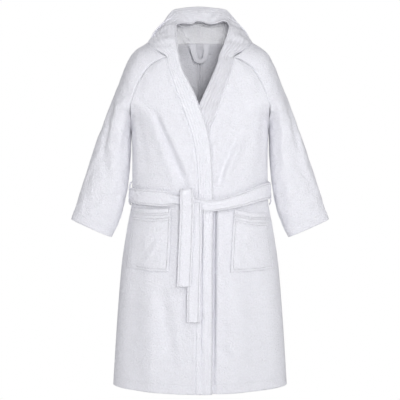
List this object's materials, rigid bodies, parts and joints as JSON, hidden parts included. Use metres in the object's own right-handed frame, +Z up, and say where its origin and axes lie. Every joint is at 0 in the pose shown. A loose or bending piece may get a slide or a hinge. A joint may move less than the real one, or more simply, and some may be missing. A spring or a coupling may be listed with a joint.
{
  "type": "bathrobe",
  "caption": "Hooded terry bathrobe in its worn shape: wrap front, raglan sleeves, patch pockets and a tied belt.",
  "frame": {"origin": "middle of the hooked end of the hanging loop at the back of the neck", "axes": "+Z up along the body, -Y towards the front, +X towards the wearer's left side"},
  "size_m": [0.842, 0.3333, 1.245],
  "materials": {
    "terry": "matte",
    "quilted_band": "matte",
    "belt_terry": "matte",
    "tape": "matte",
    "thread": "matte"
  },
  "bodies": {
    "garment": {"back_panel": "terry", "front_panel_right": "terry", "front_panel_left": "terry", "front_band_right": "quilted_band", "front_band_left": "quilted_band", "sleeve_head_right": "terry", "sleeve_head_left": "terry", "hood_band": "quilted_band", "hood_stand": "terry", "pocket_right": "terry", "pocket_left": "terry", "belt_waist": "belt_terry", "belt_knot": "belt_terry", "belt_loop_right": "tape", "belt_loop_left": "tape"},
    "sleeve_right_arm": {"sleeve_right": "terry"},
    "sleeve_left_arm": {"sleeve_left": "terry"},
    "hood_crown": {"hood_crown_right": "terry", "hood_crown_left": "terry"},
    "loop": {"hanging_loop": "tape"},
    "tail_rear": {"belt_tail_rear": "belt_terry"},
    "tail_front": {"belt_tail_front": "belt_terry"}
  },
  "joints": [
    {"name": "sleeve_right_lift", "type": "hinge", "parent": "garment", "child": "sleeve_right_arm", "pos_m": [-0.251, -0.058, -0.025], "axis": [0, 1, 0], "range_deg": [0, 70]},
    {"name": "sleeve_left_lift", "type": "hinge", "parent": "garment", "child": "sleeve_left_arm", "pos_m": [0.251, -0.058, -0.025], "axis": [0, -1, 0], "range_deg": [0, 70]},
    {"name": "hood_crown_raise", "type": "hinge", "parent": "garment", "child": "hood_crown", "pos_m": [0, 0.026, 0.155], "axis": [1, 0, 0], "range_deg": [0, 120]},
    {"name": "hanging_loop_flip", "type": "hinge", "parent": "garment", "child": "loop", "pos_m": [0, 0.0015, 0.051], "axis": [-1, 0, 0], "range_deg": [0, 145]},
    {"name": "belt_tail_rear_swing", "type": "hinge", "parent": "garment", "child": "tail_rear", "pos_m": [-0.02, -0.197, -0.499], "axis": [-1, 0, 0], "range_deg": [0, 70]},
    {"name": "belt_tail_front_swing", "type": "hinge", "parent": "tail_rear", "child": "tail_front", "pos_m": [-0.045, -0.197, -0.499], "axis": [-1, 0, 0], "range_deg": [0, 40]}
  ]
}
